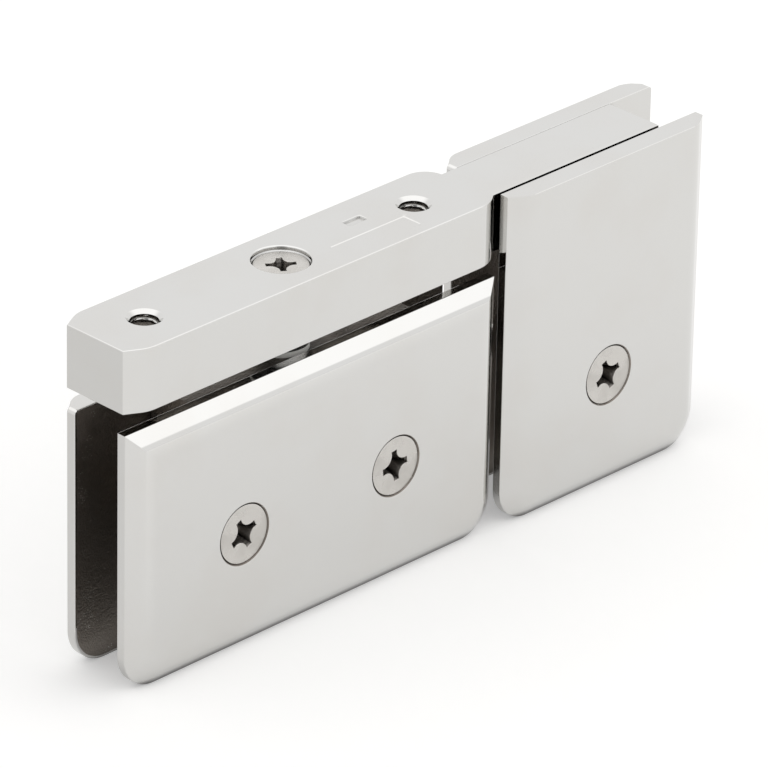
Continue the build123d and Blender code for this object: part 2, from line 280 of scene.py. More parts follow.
def holds(loop: Sequence[Vector], spot: Vector) -> bool:
    """Tells whether a closed loop goes round a spot.

    Args:
        loop: points of the loop.
        spot: the spot.

    Returns:
        True where the spot is inside.
    """
    inside = False
    for index, end in enumerate(loop):
        start = loop[index - 1]
        if (start.y > spot.y) != (end.y > spot.y):
            crossing = start.x + (spot.y - start.y) * (end.x - start.x) / (end.y - start.y)
            inside ^= spot.x < crossing
    return inside


class Skin:
    """Points and faces of one piece, gathered in millimetres along the piece's own axes."""

    def __init__(self) -> None:
        """Starts with nothing."""
        self.points: list[Place] = []
        self.faces: list[Loop] = []
        self.coats: list[Coat] = []

    def point(self, place: Place) -> int:
        """Adds one point and gives its number."""
        self.points.append(place)
        return len(self.points) - 1

    def ring(self, outline: Sequence[Point], height: float, across: Across = Across.FLOOR_PLAN) -> Loop:
        """Adds the points of an outline.

        Args:
            outline: the outline.
            height: where it lies along the third axis.
            across: the plane that it lies in.

        Returns:
            The numbers of the points.
        """
        first, second, third = across.value
        loop: Loop = []
        for x, y in outline:
            place = [0.0, 0.0, 0.0]
            place[first], place[second], place[third] = x, y, height
            loop.append(self.point((place[0], place[1], place[2])))
        return loop

    def face(self, loop: Loop, coat: Coat = Coat.POLISHED) -> None:
        """Adds one face.

        Args:
            loop: numbers of its corners.
            coat: its finish.
        """
        self.faces.append(loop)
        self.coats.append(coat)

    def bridge(
        self, first: Loop, second: Loop, coat: Coat = Coat.POLISHED, skip: Sequence[int] = ()
    ) -> None:
        """Joins two rings of as many points by a band of faces.

        Args:
            first: the first ring.
            second: the second ring.
            coat: finish of the band.
            skip: numbers of the edges that stay open.
        """
        count = len(first)
        for index in range(count):
            if index not in skip:
                after = (index + 1) % count
                self.face([first[index], first[after], second[after], second[index]], coat)

    def stack(self, rings: Sequence[Loop], coat: Coat = Coat.POLISHED) -> None:
        """Joins each ring to the next one.

        Args:
            rings: the rings, in order.
            coat: finish of the bands.
        """
        for first, second in zip(rings, rings[1:]):
            self.bridge(first, second, coat)

    def turned(
        self,
        centre: Point,
        profile: Sequence[Point],
        across: Across = Across.FLOOR_PLAN,
        coat: Coat = Coat.POLISHED,
    ) -> list[Loop]:
        """Turns a profile round an axis.

        Args:
            centre: where the axis stands.
            profile: radius and height of each ring.
            across: the plane that the rings lie in.
            coat: finish of the wall.

        Returns:
            The rings, in order.
        """
        rings = [self.ring(circle(centre, radius), height, across) for radius, height in profile]
        self.stack(rings, coat)
        return rings

    def threaded(
        self,
        centre: Point,
        span: Point,
        radii: Point,
        pitch: float,
        before: Loop,
        shaded_below: float = -math.inf,
    ) -> Loop:
        """Runs a screw thread along Z from a plain ring, fading in and out over one pitch.

        Args:
            centre: where the axis stands.
            span: heights of its start and end.
            radii: radius of the plain wall, and of the thread's far side.
            pitch: rise of one turn.
            before: the ring that the thread starts from.
            shaded_below: height below which the wall takes the darker finish: the unpolished thread, with
                painted shade deep in the hole.

        Returns:
            The last ring, which is plain again.
        """
        start, end = span
        plain, deep = radii
        length = abs(end - start)
        steps = round(length / pitch * THREAD_STEPS)
        ring = before
        for step in range(1, steps + 1):
            along = length * step / steps
            fade = min(1.0, along / pitch, (length - along) / pitch)
            outline: list[Point] = []
            for index in range(CIRCLE_STEPS):
                phase = (along / pitch + index / CIRCLE_STEPS) % 1.0
                ridge = 1.0 - abs(2.0 * phase - 1.0)
                radius = plain + (deep - plain) * fade * ridge
                angle = 2.0 * math.pi * index / CIRCLE_STEPS
                x, y = radius * math.cos(angle), radius * math.sin(angle)
                outline.append((centre[0] + x, centre[1] + y))
            height = start + (end - start) * step / steps
            after = self.ring(outline, height)
            self.bridge(ring, after, Coat.DARKER if height < shaded_below else Coat.POLISHED)
            ring = after
        return ring

    def fill(
        self,
        outer: Loop,
        holes: Sequence[Loop] = (),
        coat: Coat = Coat.POLISHED,
        across: Across = Across.FLOOR_PLAN,
    ) -> None:
        """Closes a flat outline with triangles, leaving its holes open.

        Args:
            outer: the outline.
            holes: loops inside it.
            coat: finish of the face.
            across: the plane that it lies in.
        """
        first, second, _ = across.value
        loops = [outer, *holes]
        numbers = [number for loop in loops for number in loop]
        flat = [Vector((self.points[number][first], self.points[number][second])) for number in numbers]
        edges: list[tuple[int, int]] = []
        outlines: list[list[Vector]] = []
        start = 0
        for loop in loops:
            count = len(loop)
            edges += [(start + index, start + (index + 1) % count) for index in range(count)]
            outlines.append(flat[start:start + count])
            start += count
        spots, _, triangles, origins, _, _ = delaunay_2d_cdt(flat, edges, [], 0, EXACT)
        for triangle in triangles:
            middle = sum((spots[corner] for corner in triangle), Vector((0.0, 0.0))) / len(triangle)
            if sum(holds(outline, middle) for outline in outlines) == 1:
                self.face([numbers[origins[corner][0]] for corner in triangle], coat)

    def write(self, name: str, axes: Matrix, finishes: Sequence[bpy.types.Material]) -> bpy.types.Object:
        """Turns what was gathered into an object with smooth faces and sharp corners.

        Args:
            name: name of the object.
            axes: turns the piece's own axes into the frame's.
            finishes: its materials, in the order of Coat.

        Returns:
            The object, at the frame's origin.
        """
        mesh = bpy.data.meshes.new(name)
        mesh.from_pydata([axes @ Vector(place) * MM for place in self.points], [], self.faces)
        mesh.polygons.foreach_set("material_index", [int(coat) for coat in self.coats])
        shape = bmesh.new()
        shape.from_mesh(mesh)
        bmesh.ops.remove_doubles(shape, verts=shape.verts, dist=WELD_DISTANCE)
        bmesh.ops.recalc_face_normals(shape, faces=shape.faces)
        for face in shape.faces:
            face.smooth = True
        for edge in shape.edges:
            edge.smooth = edge.calc_face_angle(0.0) < SHARP_ANGLE
        shape.to_mesh(mesh)
        shape.free()
        piece = bpy.data.objects.new(name, mesh)
        bpy.context.scene.collection.objects.link(piece)
        for finish in finishes:
            mesh.materials.append(finish)
        normals = piece.modifiers.new("flat_faces", "WEIGHTED_NORMAL")
        normals.keep_sharp = True
        normals.weight = FLAT_FACE_WEIGHT
        return piece


class Board:
    """Adds and joins the nodes of one shader tree."""

    mix_colours = (6, 7)  # numbers of the Mix node's two colours
    mix_result = 2

    def __init__(self, tree: bpy.types.NodeTree) -> None:
        """Works on a tree.

        Args:
            tree: the tree of a material, a group or the world.
        """
        self.tree = tree

    def node(
        self, kind: str, inputs: dict[str | int, object] | None = None, **settings: object
    ) -> Node:
        """Adds a node.

        Args:
            kind: type of the node.
            inputs: a value or an output socket for each named or numbered input.
            settings: properties of the node.

        Returns:
            The node.
        """
        made = self.tree.nodes.new(kind)
        for key, value in settings.items():
            setattr(made, key, value)
        for key, value in (inputs or {}).items():
            self.feed(made.inputs[key], value)
        return made

    def feed(self, socket: Socket, value: object) -> None:
        """Gives an input its value, or joins it to an output.

        Args:
            socket: the input.
            value: a value or an output socket.
        """
        if isinstance(value, Socket):
            self.tree.links.new(value, socket)
        else:
            socket.default_value = value

    def math(self, operation: str, first: object, second: object = 0.0) -> Socket:
        """Adds a calculation with one or two numbers or sockets and gives its output."""
        return self.node("ShaderNodeMath", {0: first, 1: second}, operation=operation).outputs[0]

    def spread(self, value: object, source: Point, target: tuple[object, object]) -> Socket:
        """Stretches a value from one range to another.

        Args:
            value: the output socket to stretch.
            source: its range.
            target: numbers or sockets for the ends of the new range.

        Returns:
            The stretched value.
        """
        inputs = {"Value": value, "From Min": source[0], "From Max": source[1]}
        inputs |= {"To Min": target[0], "To Max": target[1]}
        return self.node("ShaderNodeMapRange", inputs, interpolation_type="SMOOTHSTEP").outputs["Result"]

    def along(self, spot: Socket, direction: Place) -> Socket:
        """Measures how far a spot lies along a direction.

        Args:
            spot: socket of the spot.
            direction: the direction, of any length.

        Returns:
            The distance along it.
        """
        unit = Vector(direction).normalized()
        product = self.node("ShaderNodeVectorMath", {0: spot, 1: unit}, operation="DOT_PRODUCT")
        return product.outputs["Value"]

    def blend(self, share: object, first: object, second: object) -> Socket:
        """Mixes two colours.

        Args:
            share: how much of the second colour shows.
            first: colour or socket.
            second: colour or socket.

        Returns:
            The mixed colour.
        """
        inputs = {"Factor": share} | dict(zip(self.mix_colours, (first, second)))
        return self.node("ShaderNodeMix", inputs, data_type="RGBA").outputs[self.mix_result]

    def spot(self) -> Socket:
        """Gives the place on the object, along its own axes."""
        return self.node("ShaderNodeTexCoord").outputs["Object"]

    def noise(self, spot: Socket, scale: object, detail: float) -> Socket:
        """Adds a noise and gives its output.

        Args:
            spot: where it is taken.
            scale: number or socket, how fine it is.
            detail: how many finer noises it carries.

        Returns:
            The noise, from 0 to 1.
        """
        inputs = {"Vector": spot, "Scale": scale, "Detail": detail}
        return self.node("ShaderNodeTexNoise", inputs).outputs["Fac"]


class Effect:
    """A surface effect that several finishes share, kept as one shader node group."""

    name = ""
    inputs: dict[str, float] = {}
    outputs: tuple[str, ...] = ()

    def group(self) -> bpy.types.NodeTree:
        """Builds the group the first time it is asked for, and gives it."""
        kept = bpy.data.node_groups.get(self.name)
        if kept is not None:
            return kept
        tree = bpy.data.node_groups.new(self.name, "ShaderNodeTree")
        for name, value in self.inputs.items():
            socket = tree.interface.new_socket(name, in_out="INPUT", socket_type="NodeSocketFloat")
            socket.default_value = value
        for name in self.outputs:
            tree.interface.new_socket(name, in_out="OUTPUT", socket_type="NodeSocketFloat")
        board = Board(tree)
        given = board.node("NodeGroupInput")
        made = board.node("NodeGroupOutput")
        for name, socket in self.draw(board, given).items():
            board.feed(made.inputs[name], socket)
        return tree

    def draw(self, board: Board, given: Node) -> dict[str, Socket]:
        """Makes the group's nodes.

        Args:
            board: the group's tree.
            given: the group's inputs.

        Returns:
            The socket of each output.
        """
        raise NotImplementedError

    def place(self, board: Board, **values: float) -> Node:
        """Puts the group into a material.

        Args:
            board: the material's tree.
            values: its inputs, by name.

        Returns:
            The group's node.
        """
        node = board.node("ShaderNodeGroup", node_tree=self.group())
        for name, value in values.items():
            node.inputs[name].default_value = value
        return node


class PolishWave(Effect):
    """Gentle unevenness that a polishing wheel leaves."""

    name = "polish_wave"
    inputs = {"Scale": 90.0}
    outputs = ("Height",)

    def draw(self, board: Board, given: Node) -> dict[str, Socket]:
        """Makes the group's nodes, one soft noise over the object."""
        return {"Height": board.noise(board.spot(), given.outputs["Scale"], detail=1.0)}


class Smudges(Effect):
    """Cloudy change from a clean to a handled surface."""

    name = "smudges"
    inputs = {"Scale": 60.0, "Clean": 0.04, "Handled": 0.1}
    outputs = ("Value", "Mask")
    cloud = (0.42, 0.68)  # range of the noise over which the surface changes

    def draw(self, board: Board, given: Node) -> dict[str, Socket]:
        """Makes the group's nodes, a noise stretched between the clean and the handled value."""
        noise = board.noise(board.spot(), given.outputs["Scale"], detail=6.0)
        mask = board.spread(noise, self.cloud, (0.0, 1.0))
        value = board.spread(mask, (0.0, 1.0), (given.outputs["Clean"], given.outputs["Handled"]))
        return {"Value": value, "Mask": mask}


class Hairlines(Effect):
    """Sparse fine scratches in two directions."""

    name = "hairlines"
    inputs = {"Scale": 18.0, "Sparse": 0.72}
    outputs = ("Mask",)
    leans = (0.45, -0.8)
    stretch = (1.0, 1.0, 60.0)

    def draw(self, board: Board, given: Node) -> dict[str, Socket]:
        """Makes the group's nodes, two long noises cut down to their crests."""
        spot = board.spot()
        crests: list[Socket] = []
        for lean in self.leans:
            inputs = {"Vector": spot, "Rotation": (lean, lean, 0.0), "Scale": self.stretch}
            mapping = board.node("ShaderNodeMapping", inputs)
            noise = board.noise(mapping.outputs[0], given.outputs["Scale"], detail=0.0)
            crests.append(board.math("GREATER_THAN", noise, given.outputs["Sparse"]))
        return {"Mask": board.math("MAXIMUM", *crests)}


class CastGrain(Effect):
    """Pebbly skin of a casting, with specks where the plating took brightly."""

    name = "cast_grain"
    inputs = {"Scale": 2600.0}
    outputs = ("Height", "Specks")
    swell_share = 0.25  # scale of the swell, as a share of the pebbles' own
    speck_reach = 0.2
    patch_scale = 160.0
    patch_level = 0.58  # patches of the noise above this have specks

    def draw(self, board: Board, given: Node) -> dict[str, Socket]:
        """Makes the group's nodes, pebbles over a slow swell and a few bright cells."""
        spot = board.spot()
        scale = given.outputs["Scale"]
        pebbles = board.node("ShaderNodeTexVoronoi", {"Vector": spot, "Scale": scale}).outputs["Distance"]
        swell = board.noise(spot, board.math("MULTIPLY", scale, self.swell_share), detail=4.0)
        lit = board.math("LESS_THAN", pebbles, self.speck_reach)
        patch = board.noise(spot, self.patch_scale, detail=2.0)
        thick = board.math("GREATER_THAN", patch, self.patch_level)
        return {
            "Height": board.math("ADD", pebbles, swell),
            "Specks": board.math("MULTIPLY", lit, thick),
        }


class PaintedCreviceShade(Effect):
    """Painted shade of narrow gaps and corners: the colour darkens where an occlusion test finds a spot
    closed in.
    """

    name = "painted_crevice_shade"
    inputs = {"Reach": 0.002}
    outputs = ("Mask",)
    openness = (0.25, 0.9)  # range from full shade to none
    rays = 6

    def draw(self, board: Board, given: Node) -> dict[str, Socket]:
        """Makes the group's nodes, how closed in a spot is."""
        inputs = {"Distance": given.outputs["Reach"]}
        opened = board.node("ShaderNodeAmbientOcclusion", inputs, samples=self.rays)
        return {"Mask": board.spread(opened.outputs["AO"], self.openness, (1.0, 0.0))}


class TurningRings(Effect):
    """Fine rings that a lathe leaves round a piece's own Z axis."""

    name = "turning_rings"
    inputs = {"Pitch": 0.00022}
    outputs = ("Height",)
    noise_scale = 500.0

    def draw(self, board: Board, given: Node) -> dict[str, Socket]:
        """Makes the group's nodes, a wave of the distance from the axis, broken by noise."""
        spot = board.spot()
        flat = board.node("ShaderNodeVectorMath", {0: spot, 1: (1.0, 1.0, 0.0)}, operation="MULTIPLY")
        reach = board.node("ShaderNodeVectorMath", {0: flat.outputs[0]}, operation="LENGTH")
        turns = board.math("DIVIDE", reach.outputs["Value"], given.outputs["Pitch"])
        noise = board.noise(spot, self.noise_scale, detail=2.0)
        phase = board.math("ADD", turns, noise)
        wave = board.math("SINE", board.math("MULTIPLY", phase, 2.0 * math.pi))
        return {"Height": board.math("MULTIPLY", wave, noise)}


@dataclass(frozen=True)
class Finish:
    """A procedural material. Heights of its relief are in metres."""

    name: str
    colour: Colour
    handled_colour: Colour
    roughness: float
    handled_roughness: float
    smudge_scale: float = 60.0
    relief: float = 0.00002
    metallic: float = 1.0
    # Colour and reach of the painted shade in gaps and corners
    painted_shade_colour: Colour = (0.05, 0.046, 0.042, 1.0)
    painted_shade_reach: float = 0.002

    def build(self) -> bpy.types.Material:
        """Makes the material.

        Returns:
            The material, or the one made before under this name.
        """
        kept = bpy.data.materials.get(self.name)
        if kept is not None:
            return kept
        material = bpy.data.materials.new(self.name)
        material.use_nodes = True
        board = Board(material.node_tree)
        shader = material.node_tree.nodes["Principled BSDF"]
        shader.inputs["Metallic"].default_value = self.metallic
        smudges = Smudges().place(
            board, Scale=self.smudge_scale, Clean=self.roughness, Handled=self.handled_roughness
        )
        colour = board.blend(smudges.outputs["Mask"], self.colour, self.handled_colour)
        height, colour, roughness = self.detail(board, colour, smudges.outputs["Value"])
        # Painted shade: the colour darkens towards a shade colour in gaps and corners
        painted_crevice_shade = PaintedCreviceShade().place(board, Reach=self.painted_shade_reach)
        colour = board.blend(painted_crevice_shade.outputs["Mask"], colour, self.painted_shade_colour)
        bump = board.node("ShaderNodeBump", {"Height": height, "Strength": 1.0, "Distance": self.relief})
        board.feed(shader.inputs["Base Color"], colour)
        board.feed(shader.inputs["Roughness"], roughness)
        board.feed(shader.inputs["Normal"], bump.outputs["Normal"])
        return material

    def detail(self, board: Board, colour: Socket, roughness: Socket) -> Surface:
        """Adds what is special to the finish.

        Args:
            board: the material's tree.
            colour: colour so far.
            roughness: roughness so far.

        Returns:
            Height of the relief, colour and roughness.
        """
        raise NotImplementedError


@dataclass(frozen=True)
class MirrorChrome(Finish):
    """Chrome plate over a polished casting, with a few hairline scratches."""

    wave_scale: float = 70.0
    hairline_roughness: float = 0.04

    def detail(self, board: Board, colour: Socket, roughness: Socket) -> Surface:
        """Adds the polisher's waves and the hairlines, which are a little rougher."""
        wave = PolishWave().place(board, Scale=self.wave_scale)
        hairlines = Hairlines().place(board)
        scratched = board.spread(hairlines.outputs["Mask"], (0.0, 1.0), (0.0, self.hairline_roughness))
        return wave.outputs["Height"], colour, board.math("ADD", roughness, scratched)


@dataclass(frozen=True)
class CastSkin(Finish):
    """Skin of a casting as it left the mould."""

    grain_scale: float = 2600.0
    speck_colour: Colour = (0.8, 0.78, 0.74, 1.0)

    def detail(self, board: Board, colour: Socket, roughness: Socket) -> Surface:
        """Adds the pebbly grain and its bright specks."""
        grain = CastGrain().place(board, Scale=self.grain_scale)
        speckled = board.blend(grain.outputs["Specks"], colour, self.speck_colour)
        return grain.outputs["Height"], speckled, roughness


@dataclass(frozen=True)
class TurnedMetal(Finish):
    """Metal from the lathe, with fine rings."""

    ring_pitch: float = 0.00022
    hairline_scale: float = 40.0
    hairline_roughness: float = 0.1

    def detail(self, board: Board, colour: Socket, roughness: Socket) -> Surface:
        """Adds the rings and a few hairlines."""
        rings = TurningRings().place(board, Pitch=self.ring_pitch)
        hairlines = Hairlines().place(board, Scale=self.hairline_scale)
        scratched = board.spread(hairlines.outputs["Mask"], (0.0, 1.0), (0.0, self.hairline_roughness))
        return rings.outputs["Height"], colour, board.math("ADD", roughness, scratched)


@dataclass(frozen=True)
class MouldedPlastic(Finish):
    """Plastic with the slow swell and faint grain of its mould."""

    swell_scale: float = 300.0

    def detail(self, board: Board, colour: Socket, roughness: Socket) -> Surface:
        """Adds the swell of the mould."""
        swell = PolishWave().place(board, Scale=self.swell_scale)
        return swell.outputs["Height"], colour, roughness


MIRROR_CHROME = MirrorChrome(
    name="mirror_chrome",
    colour=(0.70, 0.695, 0.68, 1.0),
    handled_colour=(0.69, 0.68, 0.66, 1.0),
    roughness=0.035,
    handled_roughness=0.075,
)
DARK_CASTING = CastSkin(
    name="dark_casting",
    colour=(0.30, 0.27, 0.24, 1.0),
    handled_colour=(0.22, 0.19, 0.165, 1.0),
    roughness=0.38,
    handled_roughness=0.55,
    relief=0.00006,
    # A longer reach of painted shade darkens the casting in the gaps between the plates and under the
    # block
    painted_shade_reach=0.005,
)
SATIN_STEEL = TurnedMetal(
    name="satin_steel",
    colour=(0.64, 0.62, 0.59, 1.0),
    handled_colour=(0.58, 0.56, 0.53, 1.0),
    roughness=0.26,
    handled_roughness=0.36,
    smudge_scale=150.0,
    painted_shade_reach=0.0008,
)
# A darker copy of the satin steel for the walls of the cross recesses: painted shade inside the recess
SHADED_RECESS_STEEL = replace(
    SATIN_STEEL,
    name="recess_steel_painted_shade",
    colour=(0.42, 0.4, 0.375, 1.0),
    handled_colour=(0.35, 0.33, 0.31, 1.0),
    painted_shade_reach=0.0012,
)
GROUND_STEEL = TurnedMetal(
    name="ground_steel",
    colour=(0.5, 0.5, 0.5, 1.0),
    handled_colour=(0.42, 0.41, 0.4, 1.0),
    roughness=0.2,
    handled_roughness=0.32,
    smudge_scale=150.0,
)
BEARING_BRONZE = TurnedMetal(
    name="bearing_bronze",
    colour=(0.45, 0.29, 0.14, 1.0),
    handled_colour=(0.36, 0.23, 0.12, 1.0),
    roughness=0.36,
    handled_roughness=0.48,
    smudge_scale=200.0,
)
WHITE_NYLON = MouldedPlastic(
    name="white_nylon",
    colour=(0.80, 0.79, 0.75, 1.0),
    handled_colour=(0.74, 0.72, 0.67, 1.0),
    roughness=0.4,
    handled_roughness=0.52,
    smudge_scale=120.0,
    metallic=0.0,
    # Dark shade colour and long reach: painted shade over the washer and plungers in their slits and
    # bores
    painted_shade_colour=(0.1, 0.095, 0.085, 1.0),
    painted_shade_reach=0.012,
)


@dataclass(frozen=True)
class Hole:
    """A round hole in a plate or in the block, in millimetres."""

    centre: Point
    radius: float
    mouth: float = 0.0
    depth: float = 0.0


@dataclass
class Plate:
    """One glass plate: bevelled, with rounded lower corners, and bevelled or square at the top."""

    node: str
    body: Body
    facing: Facing
    bevelled_top: bool
    holes: list[Hole]
    notch: Point | None = None  # half width and lower level of the housing's seat
    top_radius: float = 0.0
    polished_above: float | None = None
    edge: float = 1.9
    bevel_width: float = 3.6
    bevel_blend: float = 6.0
    corner_radius: float = 7.0
    edge_break: float = 0.25
    top_break: float = 0.12
    notch_depth: float = 1.2
    hole_soft: float = 0.05
    hole_rim: float = 0.3
    hole_steps: int = 4
    corner_steps: int = 20
    section_steps: int = 10
    top_corner_steps: int = 10

    def __post_init__(self) -> None:
        """Reads the plate's place from its solid."""
        low, high = node_box(self.node)
        self.left, self.right = low.x, high.x
        self.bottom, self.top = low.z, high.z
        self.middle = (low.x + high.x) / 2
        self.thickness = high.y - low.y
        self.inner_face = low.y if self.facing is Facing.REAR else high.y

    def outline(self) -> list[Point]:
        """Draws the plate's outline, seen from the front and against the clock."""
        radius = self.corner_radius
        path = arc((self.left + radius, self.bottom + radius), radius, 180.0, 270.0, self.corner_steps)
        path += arc((self.right - radius, self.bottom + radius), radius, 270.0, 360.0, self.corner_steps)
        stops = [] if self.polished_above is None else [self.polished_above]
        path += [(self.right, level) for level in stops]
        path += self.top_corner(self.right, -1)
        if self.notch:
            path += [(self.notch[0], self.top), (-self.notch[0], self.top)]
        path += self.top_corner(self.left, 1)[::-1]
        path += [(self.left, level) for level in stops]
        return path

    def top_corner(self, side: float, inwards: int) -> list[Point]:
        """Draws one top corner, from the plate's side to its top.

        Args:
            side: where the plate's side is.
            inwards: direction from there into the plate, along X.

        Returns:
            The corner, or the points of its rounding.
        """
        if not self.top_radius:
            return [(side, self.top)]
        middle = (side + inwards * self.top_radius, self.top - self.top_radius)
        quarter = arc((0.0, 0.0), self.top_radius, 0.0, 90.0, self.top_corner_steps)
        return [(middle[0] - inwards * x, middle[1] + z) for x, z in quarter]

    def ring_outline(self, side_inset: float, height: float) -> list[Point]:
        """Draws the plate's outline at one ring of its section.

        Args:
            side_inset: inset of its sides and bottom.
            height: its height above the inner face.

        Returns:
            The outline, with as many points for every ring.
        """
        left, right = self.left + side_inset, self.right - side_inset
        top = self.top - self.top_inset(side_inset, height)
        radius = max(self.corner_radius - side_inset, 0.0)
        shrink = radius / self.corner_radius
        lower = self.bottom + self.corner_radius
        moved: list[Point] = []
        for x, z in self.outline():
            if z < lower:
                side, inwards = (self.left, 1) if x < self.middle else (self.right, -1)
                middle = side + inwards * self.corner_radius
                moved.append((middle + (x - middle) * shrink, lower + (z - lower) * shrink))
            else:
                moved.append((min(max(x, left), right), min(z, top)))
        return moved

    def face_inset(self) -> float:
        """Gives the inset where the bevel's blend has run out into the flat face."""
        slope = math.atan2(self.thickness - self.edge, self.bevel_width)
        return self.bevel_width + self.bevel_blend * math.tan(slope / 2) + self.edge_break

    def section(self) -> list[Point]:
        """Draws the plate's section at a bevelled edge, as inset and height above the inner face."""
        corners = [
            (2 * self.edge_break, 0.0, 0.0),
            (0.0, 0.0, self.edge_break),
            (0.0, self.notch_depth, 0.0),
            (0.0, self.edge, self.edge_break),
            (self.bevel_width, self.thickness, self.bevel_blend),
            (self.face_inset(), self.thickness, 0.0),
        ]
        return soften(corners, self.section_steps)

    def top_inset(self, side_inset: float, height: float) -> float:
        """Gives the inset of the top edge for a ring of the section.

        Args:
            side_inset: inset of the ring's other edges.
            height: its height above the inner face.

        Returns:
            The side inset at a bevelled top, and otherwise just a softened corner.
        """
        if self.bevelled_top:
            return side_inset
        soft = self.top_break
        from_corner = min(height, self.thickness - height)
        if from_corner <= 0.0:
            return soft if side_inset < self.face_inset() else 2 * soft
        if from_corner >= soft:
            return 0.0
        return soft - math.sqrt(soft**2 - (soft - from_corner) ** 2)

    def build(self) -> None:
        """Makes the plate in the place of its solid."""
        skin = Skin()
        section = self.section()
        levels = [height for _, height in section]
        rings = [skin.ring(self.ring_outline(reach, height), height) for reach, height in section]
        notch_edge = self.outline().index((self.notch[0], self.top)) if self.notch else -1
        for index, (first, second) in enumerate(zip(rings, rings[1:])):
            in_notch = self.notch and levels[index + 1] <= self.notch_depth
            skin.bridge(first, second, skip=[notch_edge] if in_notch else [])
        bores = [self.bore(skin, hole) for hole in self.holes]
        skin.fill(rings[-1], [bore[0] for hole, bore in zip(self.holes, bores) if hole.mouth])
        inner = rings[0]
        if self.notch:
            notch_rings = [ring for ring, level in zip(rings, levels) if level <= self.notch_depth]
            inner = self.cut_notch(skin, notch_rings, notch_edge)
        self.close_inner_face(skin, inner, [bore[-1] for bore in bores])
        axes = Matrix(((1, 0, 0, 0), (0, 0, self.facing, self.inner_face), (0, 1, 0, 0), (0, 0, 0, 1)))
        piece = skin.write(f"{self.node}_form", axes, [MIRROR_CHROME.build(), DARK_CASTING.build()])
        hand_over(piece, self.node, self.body)

    def bore(self, skin: Skin, hole: Hole) -> list[Loop]:
        """Cuts one hole, countersunk right through or blind from the inner face.

        Of its walls, only the lip of a countersink is polished.

        Args:
            skin: the plate's skin.
            hole: the hole.

        Returns:
            Its rings, of which the last lies in the inner face.
        """
        soft = self.hole_soft
        inner_end = [(hole.radius, 0.0, soft), (hole.radius + self.hole_rim, 0.0, 0.0)]
        if hole.mouth:
            mouth = hole.mouth / 2
            path = [
                (mouth + self.hole_rim, self.thickness, 0.0),
                (mouth, self.thickness, soft),
                (hole.radius, self.thickness - (mouth - hole.radius) / COUNTERSINK_SLOPE, soft),
            ]
            profile = soften(path + inner_end, self.hole_steps)
            rings = [skin.ring(circle(hole.centre, radius), height) for radius, height in profile]
            skin.stack(rings[:self.hole_steps + 2])
            skin.stack(rings[self.hole_steps + 1:], Coat.DARKER)
            return rings
        path = [(hole.radius, hole.depth, 0.0)] + inner_end
        rings = skin.turned(hole.centre, soften(path, self.hole_steps), coat=Coat.DARKER)
        skin.fill(rings[0], coat=Coat.DARKER)
        return rings

    def close_inner_face(self, skin: Skin, inner: Loop, mouths: list[Loop]) -> None:
        """Closes the inner face, as cast or polished above a level.

        Args:
            skin: the plate's skin.
            inner: outline of the face.
            mouths: rings of the holes in it.
        """
        if self.polished_above is None:
            skin.fill(inner, mouths, Coat.DARKER)
            return
        lower_end = 2 * (self.corner_steps + 1)
        is_upper = [skin.points[mouth[0]][1] > self.polished_above for mouth in mouths]
        upper_mouths = [mouth for mouth, upper in zip(mouths, is_upper) if upper]
        lower_mouths = [mouth for mouth, upper in zip(mouths, is_upper) if not upper]
        skin.fill(inner[lower_end:], upper_mouths, Coat.POLISHED)
        skin.fill(inner[:lower_end + 1] + inner[-1:], lower_mouths, Coat.DARKER)

    def cut_notch(self, skin: Skin, rings: list[Loop], edge: int) -> Loop:
        """Lets the spring housing's seat into the inner face, open at the top.

        Args:
            skin: the plate's skin.
            rings: the rings of the edge, from the inner face to the seat's floor.
            edge: number of the top edge's stretch over the seat.

        Returns:
            The outline of the inner face round the seat.
        """
        half, level = self.notch
        upper = [skin.point((side * half, level, 0.0)) for side in (1, -1)]
        lower = [skin.point((side * half, level, self.notch_depth)) for side in (1, -1)]
        for side in (0, 1):
            skin.face([ring[edge + side] for ring in rings] + [lower[side], upper[side]], Coat.DARKER)
        skin.face([upper[0], upper[1], lower[1], lower[0]], Coat.DARKER)
        skin.face([rings[-1][edge], rings[-1][edge + 1], lower[1], lower[0]], Coat.DARKER)
        return rings[0][:edge + 1] + upper + rings[0][edge + 1:]


